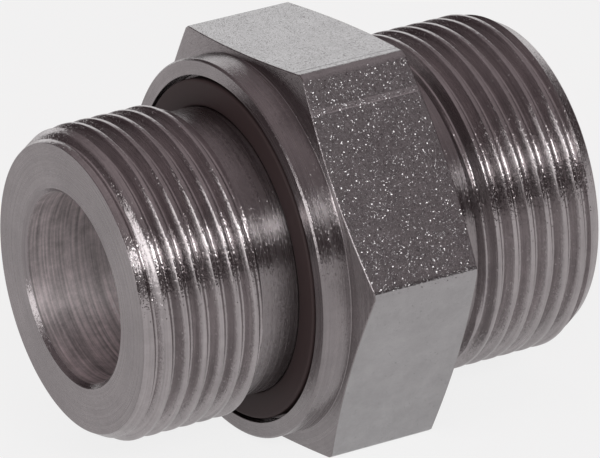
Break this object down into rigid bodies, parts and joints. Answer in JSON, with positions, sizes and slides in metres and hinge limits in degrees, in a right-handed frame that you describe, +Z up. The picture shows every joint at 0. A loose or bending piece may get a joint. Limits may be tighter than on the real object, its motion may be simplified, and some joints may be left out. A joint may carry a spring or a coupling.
{
  "type": "male stud coupling",
  "caption": "Straight male stud coupling: a threaded stud with a seal ring, a collar, a spanner hexagon and a threaded tube end with a 24 degree cone, bored through for a hydraulic tube.",
  "frame": {"origin": "centre of the hexagon flat's plane that the coupling lies on, half way along the coupling and under its axis", "axes": "+X along the tube axis, from the stud towards the tube end; +Z up, square to the flat it lies on"},
  "size_m": [0.0528, 0.0472, 0.041],
  "materials": {
    "steel": "turned, with drawn hexagon flats",
    "elastomer": "matt"
  },
  "bodies": {
    "root": {"coupling_body": "steel", "sealing_ring": "elastomer"}
  },
  "joints": []
}
